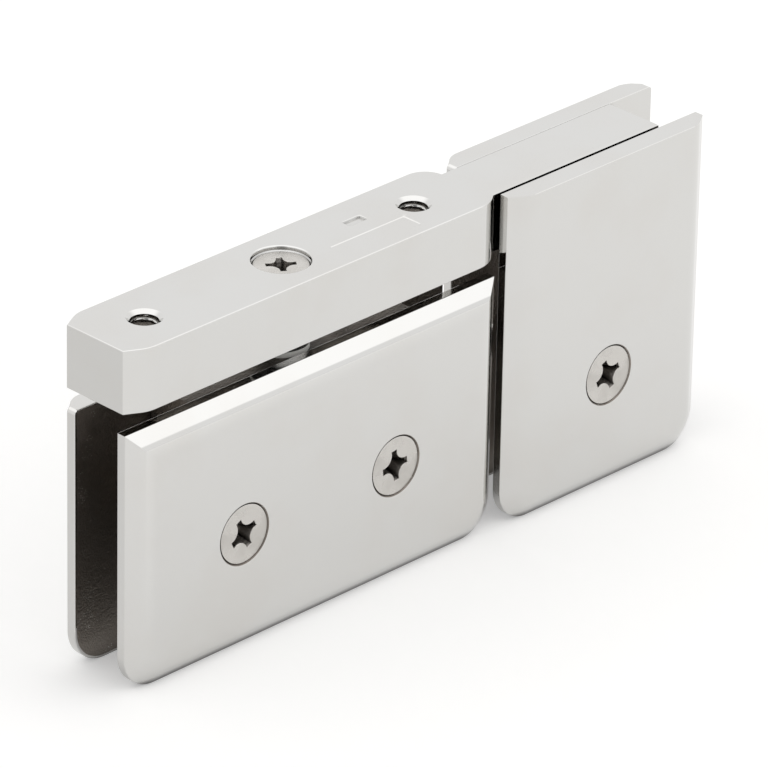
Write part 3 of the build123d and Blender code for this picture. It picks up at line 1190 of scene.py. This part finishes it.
@dataclass
class FlatHeadScrew:
    """Countersunk screw with a cross recess. Its own Z axis points out of its head."""

    name: str
    node: str
    body: Body
    head_place: Place
    facing_up: bool
    turn: float
    head: float
    length: float
    diameter: float
    pitch: float
    head_land: float = 0.2
    rim_width: float = 0.5
    rim_soft: float = 0.1
    land_soft: float = 0.04
    throat_soft: float = 0.2
    recess_reach: float = 0.27
    recess_tip: float = 0.058
    recess_waist: float = 0.15
    recess_depth: float = 0.27
    # Scale and height of each ring of the recess's lip
    recess_lip: tuple[Point, ...] = ((1.03, 0.0), (1.0, -0.05), (0.97, -0.14))
    recess_floor: float = 0.66
    recess_point: float = 1.2
    recess_steps: int = 12
    thread_depth: float = 0.09
    tip_share: float = 0.1

    def recess(self, scale: float) -> list[Point]:
        """Draws the cross recess, four narrow tips joined by hollow sides.

        Args:
            scale: size of the outline, where 1 is the recess's mouth.

        Returns:
            The outline, against the clock.
        """
        reach = self.head * self.recess_reach * scale
        tip = self.head * self.recess_tip * scale
        waist = self.head * self.recess_waist * scale / math.sqrt(2)
        centre = (reach**2 + tip**2 - 2 * waist**2) / (2 * (reach + tip - 2 * waist))
        radius = math.sqrt(2) * (centre - waist)
        start = math.degrees(math.atan2(tip - centre, reach - centre))
        end = math.degrees(math.atan2(reach - centre, tip - centre)) - 360.0
        side = arc((centre, centre), radius, start, end, self.recess_steps)
        outline: list[Point] = []
        for quarter in range(4):
            spin = Matrix.Rotation(math.radians(90.0 * quarter), 2)
            outline += [tuple(spin @ Vector(point)) for point in side]
        return outline

    def build(self) -> None:
        """Makes the screw in the place of its solid."""
        skin = Skin()
        axis = (0.0, 0.0)
        radius = self.diameter / 2
        rim = self.head / 2
        throat = -self.head_land - (rim - radius) / COUNTERSINK_SLOPE
        neck = throat - self.pitch / 2
        shoulder = [
            (rim - self.rim_width, 0.0, 0.0),
            (rim, 0.0, self.rim_soft),
            (rim, -self.head_land, self.land_soft),
            (radius, throat, self.throat_soft),
            (radius, neck, 0.0),
        ]
        body = skin.turned(axis, soften(shoulder))
        tip = self.diameter * self.tip_share
        root = radius - self.diameter * self.thread_depth
        shank_end = skin.threaded(axis, (neck, tip - self.length), (radius, root), self.pitch, body[-1])
        end_ring = skin.ring(circle(axis, radius - tip), -self.length)
        skin.bridge(shank_end, end_ring)
        skin.fill(end_ring)
        depth = self.head * self.recess_depth
        walls = [*self.recess_lip, (self.recess_floor, -depth)]
        recess = [skin.ring(self.recess(scale), height) for scale, height in walls]
        skin.stack(recess[:2])
        # The deeper walls and the floor of the recess take the darker steel, painted shade inside the
        # recess
        skin.stack(recess[1:], Coat.DARKER)
        skin.fill(body[0], [recess[0]])
        point = skin.point((0.0, 0.0, -depth * self.recess_point))
        for index, corner in enumerate(recess[-1]):
            skin.face([recess[-1][index - 1], corner, point], Coat.DARKER)
        finishes = [SATIN_STEEL.build(), SHADED_RECESS_STEEL.build()]
        piece = skin.write(self.name, Matrix.Identity(4), finishes)
        spin = Matrix.Rotation(math.radians(self.turn), 4, "Z")
        stand = Matrix.Identity(4) if self.facing_up else Matrix.Rotation(math.radians(90.0), 4, "X")
        piece.matrix_world = Matrix.Translation(Vector(self.head_place) * MM) @ stand @ spin
        hand_over(piece, self.node, self.body)


@dataclass
class PivotBlock:
    """The block that is screwed to the header, with its arm for the fixed glass."""

    node: str = "pivot_block"
    shoulder: float = 44.9
    shoulder_overhang: float = 2.9
    front_shoulder_radius: float = 7.5
    rear_shoulder_radius: float = 4.5
    end_chamfer: Point = (4.1, 2.2)  # along the block and across it
    end_blend: float = 6.0
    arm_depth: float = 12.2
    arm_top_bevel: Point = (1.35, 0.13)  # depth and height
    arm_bottom_bevel: float = 0.9
    edge_break: float = 0.2
    header_mouth: float = 6.6
    header_pitch: float = 1.27
    header_major: float = 6.2
    # Below this height the threads take the darker finish: painted shade deep in the hole, over an
    # unpolished thread
    header_shaded_below: float = -2.2
    pivot_hole: Hole = Hole((0.0, 0.0), radius=2.615, mouth=10.7)
    pivot_mouth_depth: float = 0.75
    arm_bore: float = 2.2
    arm_mouth: float = 8.2
    tenon_seat: float = 8.1
    tenon_height: float = 4.0
    tenon_corner: float = 0.05
    # Middle, size, depth and lean of the walls of each pressed mark
    stamps: tuple[tuple[Point, Point, float, float], ...] = (
        ((18.6, -4.55), (18.3, 4.3), 0.12, 0.04),
        ((20.2, 2.25), (4.3, 2.1), 0.45, 0.16),
    )
    # How far each ring of a mark's lip is grown, and its height
    stamp_lip: tuple[Point, ...] = ((0.14, 0.0), (0.06, -0.025), (0.0, -0.08))
    stamp_foot: Point = (0.08, 0.02)  # width and height of the soft foot of its walls
    stamp_radius: float = 0.35
    stamp_least_radius: float = 0.05
    soft: float = 0.08
    pivot_soft: float = 0.3
    header_rim: float = 0.15
    arm_rim: float = 0.2
    hole_steps: int = 4
    shoulder_steps: int = 20

    def __post_init__(self) -> None:
        """Reads the block's place from its solid and from what is screwed to its arm."""
        low, high = node_box(self.node)
        self.left, self.arm_end = low.x, high.x
        self.front, self.rear = low.y, high.y
        self.bottom = low.z
        self.arm_rear = node_box("clamp_rear_plate")[0].y
        self.arm_front = self.arm_rear - self.arm_depth
        self.arm_holes = screw_places("arm_screws")
        mount = next(m for m in frame["record"]["mounts"] if m["name"] == "header_holes")
        self.header_radius = mount["dims"]["hole_r_mm"]
        half = mount["dims"]["spacing_x_mm"] / 2
        self.header_places = [(-half, 0.0), (half, 0.0)]

    def outline(self) -> list[Point]:
        """Draws the block's plan against the clock, from the front of its chamfered end."""
        length, depth = self.end_chamfer
        corners = [
            (self.left, self.front + depth, 0.0),
            (self.left + length, self.front, self.end_blend),
            (0.0, self.front, 0.0),
        ]
        front_end = soften(corners)[:-1]
        rear_end = [(x, -y) for x, y in reversed(front_end)]
        arm = [(self.arm_end, self.arm_front), (self.arm_end, self.arm_rear)]
        return front_end + self.front_shoulder() + arm + self.rear_shoulder() + rear_end

    def front_shoulder(self) -> list[Point]:
        """Draws the wide rounding from the block's front to the arm."""
        radius = self.front_shoulder_radius
        centre = (self.shoulder + self.shoulder_overhang - radius, self.front + radius)
        meet = math.degrees(math.asin((self.arm_front - centre[1]) / radius))
        return arc(centre, radius, -90.0, meet, self.shoulder_steps)

    def rear_shoulder(self) -> list[Point]:
        """Draws the rounding from the arm to the block's rear."""
        radius = self.rear_shoulder_radius
        centre = (self.shoulder - radius, self.rear - radius)
        meet = math.degrees(math.asin((self.arm_rear - centre[1]) / radius))
        return arc(centre, radius, meet, 90.0, self.shoulder_steps)

    def bevel_at(self, height: float) -> float:
        """Gives how far the bevels of the arm's front edges cut in at a height."""
        top_depth, top_height = self.arm_top_bevel
        from_top = top_depth * (1.0 + height / top_height)
        from_bottom = self.arm_bottom_bevel - (height - self.bottom)
        return max(0.0, from_top, from_bottom)

    def ring_outline(self, reach: float, height: float) -> list[Point]:
        """Draws the block's plan at one ring of its section, without what the arm's bevels cut away.

        Args:
            reach: inset of its edges.
            height: its height.

        Returns:
            The outline, with as many points for every ring.
        """
        outline = self.outline()
        path = inset(outline, [reach] * len(outline))
        corner = outline.index((self.arm_end, self.arm_front))
        start, level = path[corner - 1]
        front = max(level, self.arm_front + self.bevel_at(height))
        return path[:corner] + [(start, front), (path[corner][0], front)] + path[corner + 1:]

    def build(self) -> None:
        """Makes the block in the place of its solid."""
        skin = Skin()
        soft = self.edge_break
        section = soften(
            [
                (2 * soft, 0.0, 0.0),
                (0.0, 0.0, soft),
                (0.0, self.bottom + self.arm_bottom_bevel, 0.0),
                (0.0, self.bottom, soft),
                (2 * soft, self.bottom, 0.0),
            ]
        )
        rings = [skin.ring(self.ring_outline(reach, height), height) for reach, height in section]
        wall = next(index for index in range(len(section)) if section[index][1] < self.bottom / 2) - 1
        front_wall = self.outline().index((self.arm_end, self.arm_front))
        rear_wall = front_wall + 2
        for index, (first, second) in enumerate(zip(rings, rings[1:])):
            skin.bridge(first, second, skip=[front_wall, rear_wall] if index == wall else [])
        self.drill_arm(skin, rings[wall], rings[wall + 1], front_wall, rear_wall)
        top_mouths = [self.stamp(skin, *mark) for mark in self.stamps]
        bottom_mouths: list[Loop] = []
        for place in self.header_places:
            top_mouth, bottom_mouth = self.tap(skin, place)
            top_mouths.append(top_mouth)
            bottom_mouths.append(bottom_mouth)
        top_mouth, bottom_mouth = self.drill_pivot(skin)
        skin.fill(rings[0], top_mouths + [top_mouth])
        skin.fill(rings[-1], bottom_mouths + [bottom_mouth])
        finishes = [MIRROR_CHROME.build(), DARK_CASTING.build()]
        piece = skin.write("pivot_block_form", Matrix.Identity(4), finishes)
        hand_over(piece, self.node, Body.HEADER)

    def drill_arm(self, skin: Skin, upper: Loop, lower: Loop, front_wall: int, rear_wall: int) -> None:
        """Closes the arm's long walls, with the two countersunk holes that run between them.

        Args:
            skin: the block's skin.
            upper: ring at the walls' top.
            lower: ring at their bottom.
            front_wall: number of the front wall's edge.
            rear_wall: number of the rear wall's edge.
        """
        mouth = self.arm_mouth / 2
        radius = self.arm_bore
        throat = self.arm_front + (mouth - radius) / COUNTERSINK_SLOPE
        path = [
            (mouth + self.arm_rim, self.arm_front, 0.0),
            (mouth, self.arm_front, self.soft),
            (radius, throat, self.soft),
            (radius, self.arm_rear, 0.0),
        ]
        profile = soften(path, self.hole_steps)
        bores = [skin.turned(place, profile, Across.FRONT_VIEW) for place in self.arm_holes]
        for edge, end in ((front_wall, 0), (rear_wall, -1)):
            loop = [upper[edge], upper[edge + 1], lower[edge + 1], lower[edge]]
            skin.fill(loop, [bore[end] for bore in bores], across=Across.FRONT_VIEW)

    def stamp(self, skin: Skin, centre: Point, size: Point, depth: float, slope: float) -> Loop:
        """Presses a plain shallow panel into the top face.

        Args:
            skin: the block's skin.
            centre: middle of the panel.
            size: its width and depth.
            depth: how deep it is pressed.
            slope: how far its walls lean in.

        Returns:
            Its ring in the top face.
        """
        foot_width, foot_height = self.stamp_foot
        foot = [(-slope, foot_height - depth), (-slope - foot_width, -depth)]
        rings: list[Loop] = []
        for grown, height in [*self.stamp_lip, *foot]:
            panel = (size[0] + 2 * grown, size[1] + 2 * grown)
            radius = max(self.stamp_radius + grown, self.stamp_least_radius)
            rings.append(skin.ring(rounded_rectangle(centre, panel, radius), height))
        skin.stack(rings)
        skin.fill(rings[-1])
        return rings[0]

    def tap(self, skin: Skin, place: Point) -> tuple[Loop, Loop]:
        """Cuts one tapped header hole with a countersunk mouth.

        Args:
            skin: the block's skin.
            place: where it is.

        Returns:
            Its rings in the top and the bottom face.
        """
        mouth = self.header_mouth / 2
        radius = self.header_radius
        throat = radius - mouth
        path = [(mouth + self.header_rim, 0.0, 0.0), (mouth, 0.0, self.soft), (radius, throat, 0.0)]
        rings = skin.turned(place, soften(path, self.hole_steps))
        span = (throat, self.bottom)
        radii = (radius, self.header_major / 2)
        last = skin.threaded(place, span, radii, self.header_pitch, rings[-1], self.header_shaded_below)
        return rings[0], last

    def drill_pivot(self, skin: Skin) -> tuple[Loop, Loop]:
        """Cuts the countersunk pivot hole and the square seat of the pin's tenon below it.

        Args:
            skin: the block's skin.

        Returns:
            The hole's ring in the top face and the seat's ring in the bottom face.
        """
        mouth = self.pivot_hole.mouth / 2
        radius = self.pivot_hole.radius
        throat = (radius - mouth) / COUNTERSINK_SLOPE - self.pivot_mouth_depth
        seat_top = self.bottom + self.tenon_height
        path = [
            (mouth + 2 * self.pivot_soft, 0.0, 0.0),
            (mouth, 0.0, self.pivot_soft),
            (mouth, -self.pivot_mouth_depth, self.soft),
            (radius, throat, self.soft),
            (radius, seat_top, 0.0),
        ]
        rings = skin.turned(self.pivot_hole.centre, soften(path, self.hole_steps))
        sides = (self.tenon_seat, self.tenon_seat)
        square = rounded_rectangle(self.pivot_hole.centre, sides, self.tenon_corner)
        seat = [skin.ring(square, seat_top), skin.ring(square, self.bottom)]
        skin.stack(seat)
        skin.fill(seat[0], [rings[-1]])
        return rings[0], seat[1]


@dataclass
class GlassPlates:
    """The four plates, which grip the door and the fixed glass."""

    screw_bore: float = 3.375
    screw_mouth: float = 11.9
    thread_bore: float = 3.225
    thread_depth: float = 3.5
    arm_thread_bore: float = 2.05
    rear_radius: float = 1.0
    seat_clearance: float = 0.1
    seat_play: float = 0.1

    def build(self) -> None:
        """Makes the plates, with their holes where their screws are."""
        door_places = screw_places("door_screws")
        clamp_places = screw_places("clamp_screw")
        arm_places = screw_places("arm_screws")
        housing_side = node_box("spring_housing")[1].x
        seat_level = node_box("pivot_pin")[0].z - self.seat_play - self.seat_clearance
        seat = (housing_side + self.seat_clearance, seat_level)
        arm_threads = [Hole(place, self.arm_thread_bore, depth=self.thread_depth) for place in arm_places]
        plates = [
            Plate(
                "door_front_plate",
                Body.DOOR,
                Facing.FRONT,
                bevelled_top=True,
                holes=self.countersunk(door_places),
            ),
            Plate(
                "door_rear_plate",
                Body.DOOR,
                Facing.REAR,
                bevelled_top=False,
                holes=self.tapped(door_places),
                notch=seat,
                top_radius=self.rear_radius,
            ),
            Plate(
                "clamp_front_plate",
                Body.HEADER,
                Facing.FRONT,
                bevelled_top=False,
                holes=self.countersunk(clamp_places),
            ),
            Plate(
                "clamp_rear_plate",
                Body.HEADER,
                Facing.REAR,
                bevelled_top=False,
                holes=self.tapped(clamp_places) + arm_threads,
                top_radius=self.rear_radius,
                polished_above=node_box("pivot_block")[0].z,
            ),
        ]
        for plate in plates:
            plate.build()

    def countersunk(self, places: Sequence[Point]) -> list[Hole]:
        """Gives a countersunk hole for each place."""
        return [Hole(place, self.screw_bore, mouth=self.screw_mouth) for place in places]

    def tapped(self, places: Sequence[Point]) -> list[Hole]:
        """Gives a blind hole for each place."""
        return [Hole(place, self.thread_bore, depth=self.thread_depth) for place in places]


@dataclass
class Fasteners:
    """The screws that can be seen from outside."""

    plate_screw: float = 6.35
    plate_pitch: float = 1.27
    pivot_screw: float = 4.83
    pivot_pitch: float = 1.06
    door_turns: tuple[float, float] = (26.0, 7.0)
    clamp_turn: float = 22.0
    pivot_turn: float = -35.0

    def build(self) -> None:
        """Makes the door screws, the clamp screw and the pivot screw."""
        for name, place, turn in zip(("left", "right"), screw_places("door_screws"), self.door_turns):
            self.plate_screw_at(f"door_screw_{name}", "door_screws", Body.DOOR, place, turn)
        clamp_place = screw_places("clamp_screw")[0]
        self.plate_screw_at("clamp_screw_form", "clamp_screw", Body.HEADER, clamp_place, self.clamp_turn)
        low, high = node_box("pivot_screw")
        FlatHeadScrew(
            name="pivot_screw_form",
            node="pivot_screw",
            body=Body.HEADER,
            head_place=(0.0, 0.0, high.z),
            facing_up=True,
            turn=self.pivot_turn,
            head=high.x - low.x,
            length=high.z - low.z,
            diameter=self.pivot_screw,
            pitch=self.pivot_pitch,
        ).build()

    def plate_screw_at(self, name: str, node: str, body: Body, place: Point, turn: float) -> None:
        """Makes one screw of a glass plate.

        Args:
            name: name of the piece.
            node: the solid that it stands for.
            body: body that it rides on.
            place: X and Z of its axis.
            turn: how far its recess is turned, in degrees.
        """
        low, high = node_box(node)
        FlatHeadScrew(
            name=name,
            node=node,
            body=body,
            head_place=(place[0], low.y, place[1]),
            facing_up=False,
            turn=turn,
            head=high.z - low.z,
            length=high.y - low.y,
            diameter=self.plate_screw,
            pitch=self.plate_pitch,
        ).build()


@dataclass
class Mechanism:
    """The pieces inside, which keep their solids."""

    finishes: dict[str, Finish] = field(
        default_factory=lambda: {
            "pivot_pin": GROUND_STEEL,
            "retaining_clip": GROUND_STEEL,
            "left_spring": GROUND_STEEL,
            "right_spring": GROUND_STEEL,
            "arm_screws": SATIN_STEEL,
            "spring_screws": SATIN_STEEL,
            # The housing's dark casting is also painted shade: it keeps the slit under the block dark
            "spring_housing": DARK_CASTING,
            "upper_bush": BEARING_BRONZE,
            "lower_bush": BEARING_BRONZE,
            "thrust_washer": WHITE_NYLON,
            "left_plunger": WHITE_NYLON,
            "right_plunger": WHITE_NYLON,
        }
    )

    def dress(self) -> None:
        """Gives each solid its finish."""
        for node, finish in self.finishes.items():
            slots = frame["nodes"][node].data.materials
            slots.clear()
            slots.append(finish.build())
            log.info("solid %s in %s", node, finish.name)


@dataclass
class Studio:
    """Floor, world, soft box and camera, in metres."""

    floor_level: float
    floor_size: float = 8.0
    floor_colour: Colour = (0.8, 0.795, 0.785, 1.0)
    floor_seen: float = 0.3
    floor_mirrored: Point = (0.08, 0.22)
    floor_fall: Point = (-0.12, 0.03)  # places ahead between which its mirrored glow changes
    floor_ahead: Place = (1.0, -1.0, 0.0)
    ambient: float = 0.9
    box_direction: Place = (0.634, -0.63, 0.44)
    box_edge: Point = (0.982, 0.994)  # cosines from its middle, between which it fades
    box_gain: float = 0.38
    roof_edge: Point = (0.5, 0.8)  # likewise from straight up
    roof_gain: float = 0.38
    camera_edge: Point = (0.9, 0.97)  # likewise from the camera
    camera_dark: float = 0.25
    lamp_distance: float = 1.1
    lamp_size: Point = (1.0, 0.7)
    lamp_glow: float = 0.8
    view_azimuth: float = -45.516
    view_elevation: float = 27.21
    view_roll: float = 1.1435
    view_distance: float = 1.2938
    view_target: Place = (0.00606, -0.01965, -0.01904)
    lens: float = 349.606
    sensor: float = 36.0

    def build(self) -> None:
        """Makes the whole studio."""
        self.lay_floor()
        self.light_world()
        self.hang_lamp()
        self.set_camera()
        bpy.context.scene.view_settings.view_transform = "Standard"

    @staticmethod
    def mirrored(board: Board) -> Socket:
        """Gives 1 for rays from mirrors and through glass, and 0 for all others."""
        rays = board.node("ShaderNodeLightPath").outputs
        return board.math("MAXIMUM", rays["Is Glossy Ray"], rays["Is Transmission Ray"])

    def lay_floor(self) -> None:
        """Lays the pale floor, which keeps the hinge's shadow."""
        half = self.floor_size / 2
        corners = [(-half, -half), (half, -half), (half, half), (-half, half)]
        mesh = bpy.data.meshes.new("floor")
        mesh.from_pydata([(x, y, self.floor_level) for x, y in corners], [], [(0, 1, 2, 3)])
        floor = bpy.data.objects.new("floor", mesh)
        bpy.context.scene.collection.objects.link(floor)
        material = bpy.data.materials.new("pale_floor")
        material.use_nodes = True
        material.node_tree.nodes.clear()
        board = Board(material.node_tree)
        paper = board.node("ShaderNodeBsdfDiffuse", {"Color": self.floor_colour})
        spot = board.node("ShaderNodeNewGeometry").outputs["Position"]
        ahead = board.along(spot, self.floor_ahead)
        falling = board.spread(ahead, self.floor_fall, self.floor_mirrored)
        mirrored = board.math("MULTIPLY", self.mirrored(board), falling)
        rays = board.node("ShaderNodeLightPath").outputs
        seen = board.math("MULTIPLY", rays["Is Camera Ray"], self.floor_seen)
        strength = board.math("ADD", mirrored, seen)
        glow = board.node("ShaderNodeEmission", {"Strength": strength})
        both = board.node("ShaderNodeAddShader", {0: paper.outputs[0], 1: glow.outputs[0]})
        board.node("ShaderNodeOutputMaterial", {"Surface": both.outputs[0]})
        mesh.materials.append(material)
        floor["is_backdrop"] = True

    def light_world(self) -> None:
        """Surrounds the hinge with a white tent that has a soft box and a brighter roof.

        Falling light comes evenly from the whole tent. In mirrors the tent has its soft box ahead to the
        right, its roof and the dark opening that the camera looks through.
        """
        world = bpy.data.worlds.new("light_tent")
        bpy.context.scene.world = world
        world.use_nodes = True
        world.node_tree.nodes.clear()
        board = Board(world.node_tree)
        sight = board.node("ShaderNodeTexCoord").outputs["Generated"]
        box = board.spread(board.along(sight, self.box_direction), self.box_edge, (0.0, self.box_gain))
        upwards = (0.0, 0.0, 1.0)
        roof = board.spread(board.along(sight, upwards), self.roof_edge, (1.0, 1.0 + self.roof_gain))
        to_camera = self.look().to_3x3() @ Vector(upwards)
        opening = board.spread(board.along(sight, to_camera), self.camera_edge, (1.0, self.camera_dark))
        tent = board.math("MULTIPLY", board.math("ADD", box, roof), opening)
        lit = board.node("ShaderNodeMix", {"Factor": self.mirrored(board), "A": self.ambient, "B": tent})
        rays = board.node("ShaderNodeLightPath").outputs
        strength = board.math("MAXIMUM", lit.outputs["Result"], rays["Is Camera Ray"])
        shade = board.node("ShaderNodeBackground", {"Color": (1.0, 1.0, 1.0, 1.0), "Strength": strength})
        board.node("ShaderNodeOutputWorld", {"Surface": shade.outputs[0]})

    def hang_lamp(self) -> None:
        """Hangs a wide lamp in the soft box, which gives the hinge its soft shadow."""
        lamp = bpy.data.lights.new("soft_box", "AREA")
        lamp.shape = "RECTANGLE"
        lamp.size, lamp.size_y = self.lamp_size
        lamp.energy = self.lamp_glow * math.pi * self.lamp_size[0] * self.lamp_size[1]
        holder = bpy.data.objects.new("soft_box", lamp)
        direction = Vector(self.box_direction).normalized()
        holder.location = direction * self.lamp_distance
        holder.rotation_euler = direction.to_track_quat("Z", "Y").to_euler()
        holder.visible_glossy = False
        bpy.context.scene.collection.objects.link(holder)

    def look(self) -> Matrix:
        """Gives the turn of the camera."""
        turn = Matrix.Rotation(math.radians(self.view_azimuth), 4, "Z")
        tilt = Matrix.Rotation(math.radians(90.0 - self.view_elevation), 4, "X")
        roll = Matrix.Rotation(math.radians(self.view_roll), 4, "Z")
        return turn @ tilt @ roll

    def set_camera(self) -> None:
        """Stands the camera where the photograph was taken from."""
        camera = bpy.data.cameras.new("camera")
        camera.sensor_width = self.sensor
        camera.lens = self.lens
        holder = bpy.data.objects.new("camera", camera)
        look = self.look()
        back = look.to_3x3() @ Vector((0.0, 0.0, self.view_distance))
        holder.matrix_world = Matrix.Translation(Vector(self.view_target) + back) @ look
        bpy.context.scene.collection.objects.link(holder)
        bpy.context.scene.camera = holder


def main() -> None:
    """Builds the hinge piece by piece, then the studio round it."""
    logging.basicConfig(level=logging.INFO, format="%(name)s: %(message)s")
    solid_box = [Vector(corner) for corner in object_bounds()]
    GlassPlates().build()
    PivotBlock().build()
    Fasteners().build()
    Mechanism().dress()
    Studio(floor_level=solid_box[0].z).build()


if __name__ == "__main__":
    main()
